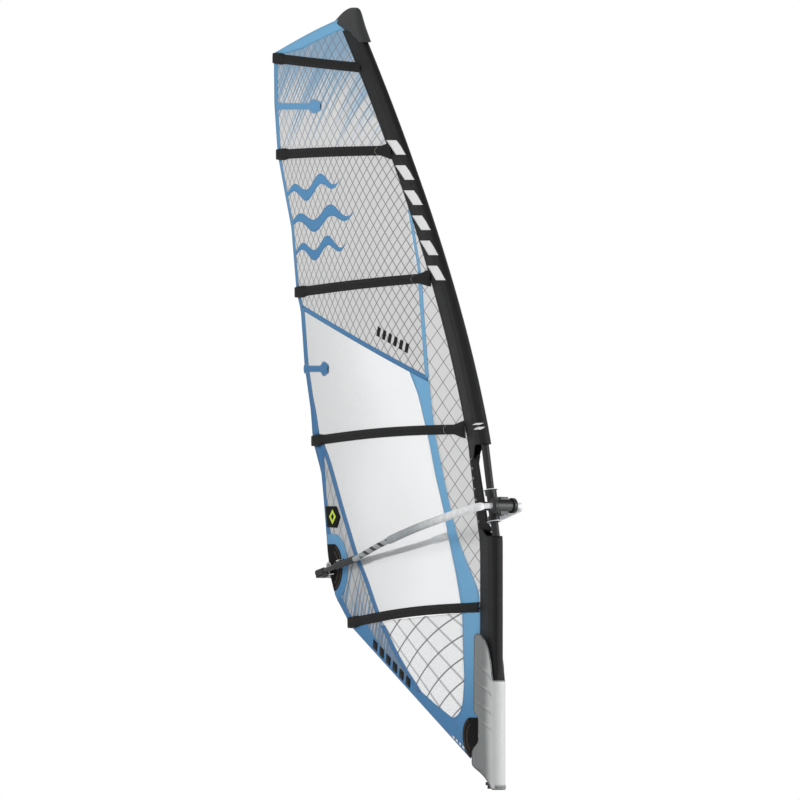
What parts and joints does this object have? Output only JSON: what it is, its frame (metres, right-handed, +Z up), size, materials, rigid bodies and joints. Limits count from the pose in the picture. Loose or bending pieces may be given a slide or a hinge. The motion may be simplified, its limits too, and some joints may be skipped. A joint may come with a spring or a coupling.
{
  "type": "windsurf sail rig",
  "caption": "Rigged wave sail: battened sail with clear windows and black mast sleeve on a bent mast, wishbone boom, mast extension and tack fairing.",
  "frame": {"origin": "mouth of the base-pin socket in the foot of the mast extension", "axes": "+X forward to the mast side, +Y to port, +Z up along the foot of the mast"},
  "size_m": [1.9694, 0.389, 3.984],
  "materials": {
    "carbon": "smooth dark mast tube with a fine lengthwise grain",
    "alloy_tube": "anodised tube",
    "black_plastic": "moulded, lightly textured",
    "steel": "turned stainless pin",
    "sheave_plastic": "pale moulded acetal",
    "red_plastic": "moulded button",
    "line": "braided line with a fleck",
    "sleeve_cloth": "dense black woven polyester",
    "cap_cloth": "black ballistic webbing",
    "eyelet": "pressed ring",
    "scrim": "grey laminate over a fine diamond grid of threads",
    "luff_scrim": "grey laminate over a coarse diamond grid of threads",
    "streak_scrim": "white laminate with slanting blue streaks",
    "window": "clear film, slightly crinkled",
    "grid_film": "clear film over a wide grid of threads",
    "blue_cloth": "blue laminate",
    "blue_tape": "blue seam tape, stitched",
    "patch_cloth": "black reinforcing cloth, stitched",
    "pocket_cloth": "black pocket cloth, stitched",
    "batten_rod": "glass fibre rod",
    "mini_batten": "blue pocket with a dark knob",
    "badge": "black badge with a pale green mark",
    "fairing": "pale moulded foam pad with grooves",
    "head_plastic": "glass-filled nylon",
    "rubber": "ribbed gasket",
    "boom_tube": "silver tube with dark bands towards the tail",
    "grip": "pale grip with a fine texture",
    "collar_plastic": "moulded collar",
    "clip_plastic": "pale snap clip",
    "black_tube": "black tail tube"
  },
  "bodies": {
    "root": {"mast_lower": "carbon", "mast_upper": "carbon", "mast_ferrule": "carbon", "extension_tube": "alloy_tube", "extension_collar": "black_plastic", "extension_base": "black_plastic", "base_axle": "steel", "release_spring": "steel", "downhaul_line": "line", "tack_block": "steel", "sleeve_upper": "sleeve_cloth", "sleeve_lower": "sleeve_cloth", "sleeve_eyelets": "eyelet", "head_cap": "cap_cloth", "top_panel": "streak_scrim", "upper_panel": "scrim", "luff_panels": "luff_scrim", "scrim_triangle": "scrim", "upper_window": "window", "lower_window": "window", "leech_scrim": "scrim", "foot_window": "grid_film", "foot_band": "blue_cloth", "tack_panel": "blue_cloth", "seam_tapes": "blue_tape", "clew_patch": "patch_cloth", "clew_ring": "eyelet", "tack_patch": "patch_cloth", "badge": "badge", "batten_pockets": "pocket_cloth", "battens": "batten_rod", "batten_tensioners": "black_plastic", "mini_battens": "mini_batten", "tack_fairing": "fairing"},
    "boom_head": {"head_body": "head_plastic", "barrel_cap": "head_plastic", "head_gasket": "rubber", "head_strap": "black_plastic", "head_pin": "steel"},
    "head_lever": {"head_lever": "head_plastic"},
    "boom": {"boom_tube": "boom_tube", "boom_grips": "grip", "boom_collars": "collar_plastic"},
    "tail": {"tail_legs": "black_tube", "tail_end": "black_plastic", "tail_axle": "steel", "outhaul_line": "line"},
    "tail_sheave": {"tail_sheave": "sheave_plastic"},
    "tail_clip_starboard": {"tail_clip_starboard": "clip_plastic"},
    "tail_clip_port": {"tail_clip_port": "clip_plastic"},
    "base_sheave_port": {"base_sheave_port": "sheave_plastic"},
    "base_sheave_starboard": {"base_sheave_starboard": "sheave_plastic"},
    "tack_sheave_port": {"tack_sheave_port": "sheave_plastic"},
    "tack_sheave_starboard": {"tack_sheave_starboard": "sheave_plastic"},
    "release_button": {"release_button": "red_plastic"},
    "tension_screw_1": {"tension_screw_1": "steel"},
    "tension_screw_2": {"tension_screw_2": "steel"},
    "tension_screw_3": {"tension_screw_3": "steel"},
    "tension_screw_4": {"tension_screw_4": "steel"},
    "tension_screw_5": {"tension_screw_5": "steel"}
  },
  "joints": [
    {"name": "boom_height", "type": "slide", "parent": "root", "child": "boom_head", "axis": [-0.1966, 0, 0.9805], "range_m": [-0.04, 0.16]},
    {"name": "boom_tilt", "type": "hinge", "parent": "boom_head", "child": "boom", "pos_m": [0.047, 0, 1.45], "axis": [0, 1, 0], "range_deg": [-7.5, 2.5]},
    {"name": "head_lever_open", "type": "hinge", "parent": "boom_head", "child": "head_lever", "pos_m": [-0.05284, -0.04, 1.44725], "axis": [0.1966, 0, -0.9805], "range_deg": [0, 100]},
    {"name": "tail_extend", "type": "slide", "parent": "boom", "child": "tail", "axis": [-0.9748, 0, -0.2233], "range_m": [0, 0.09], "deforming": ["outhaul_line"]},
    {"name": "tail_sheave_turn", "type": "hinge", "parent": "tail", "child": "tail_sheave", "pos_m": [-1.44215, 0, 1.09868], "axis": [0, 1, 0], "continuous": true},
    {"name": "tail_clip_starboard_open", "type": "hinge", "parent": "boom", "child": "tail_clip_starboard", "pos_m": [-1.25434, -0.052, 1.17452], "axis": [0, 1, 0], "range_deg": [0, 70]},
    {"name": "tail_clip_port_open", "type": "hinge", "parent": "boom", "child": "tail_clip_port", "pos_m": [-1.25434, 0.052, 1.17452], "axis": [0, 1, 0], "range_deg": [0, 70]},
    {"name": "base_sheave_starboard_turn", "type": "hinge", "parent": "root", "child": "base_sheave_starboard", "pos_m": [-0.052, 0, 0.026], "axis": [0, 1, 0], "continuous": true},
    {"name": "base_sheave_port_turn", "type": "hinge", "parent": "root", "child": "base_sheave_port", "pos_m": [-0.052, 0.016, 0.026], "axis": [0, 1, 0], "continuous": true},
    {"name": "tack_sheave_starboard_turn", "type": "hinge", "parent": "root", "child": "tack_sheave_starboard", "pos_m": [-0.052, -0.008, 0.152], "axis": [0, 1, 0], "continuous": true},
    {"name": "tack_sheave_port_turn", "type": "hinge", "parent": "root", "child": "tack_sheave_port", "pos_m": [-0.052, 0.008, 0.152], "axis": [0, 1, 0], "continuous": true},
    {"name": "release_press", "type": "slide", "parent": "root", "child": "release_button", "axis": [0, 1, 0], "range_m": [0, 0.004], "stiffness_N_per_m": 400, "springref_m": -0.004, "deforming": ["release_spring"]},
    {"name": "tension_screw_1_turn", "type": "hinge", "parent": "root", "child": "tension_screw_1", "pos_m": [-1.882, -0.01, 3.733], "axis": [0.9948, -0.0776, -0.0663], "continuous": true},
    {"name": "tension_screw_2_turn", "type": "hinge", "parent": "root", "child": "tension_screw_2", "pos_m": [-1.853, -0.00965, 3.241], "axis": [0.997, -0.0741, 0.0216], "continuous": true},
    {"name": "tension_screw_3_turn", "type": "hinge", "parent": "root", "child": "tension_screw_3", "pos_m": [-1.695, -0.00944, 2.538], "axis": [0.996, -0.0612, 0.0654], "continuous": true},
    {"name": "tension_screw_4_turn", "type": "hinge", "parent": "root", "child": "tension_screw_4", "pos_m": [-1.553, -0.00962, 1.78], "axis": [0.9975, -0.0539, 0.0463], "continuous": true},
    {"name": "tension_screw_5_turn", "type": "hinge", "parent": "root", "child": "tension_screw_5", "pos_m": [-1.245, -0.00974, 0.852], "axis": [0.9952, -0.0664, 0.072], "continuous": true}
  ],
  "couplings": [
    {"joint": "boom_tilt", "follows": "boom_height", "rad_per_m": -0.66836}
  ]
}
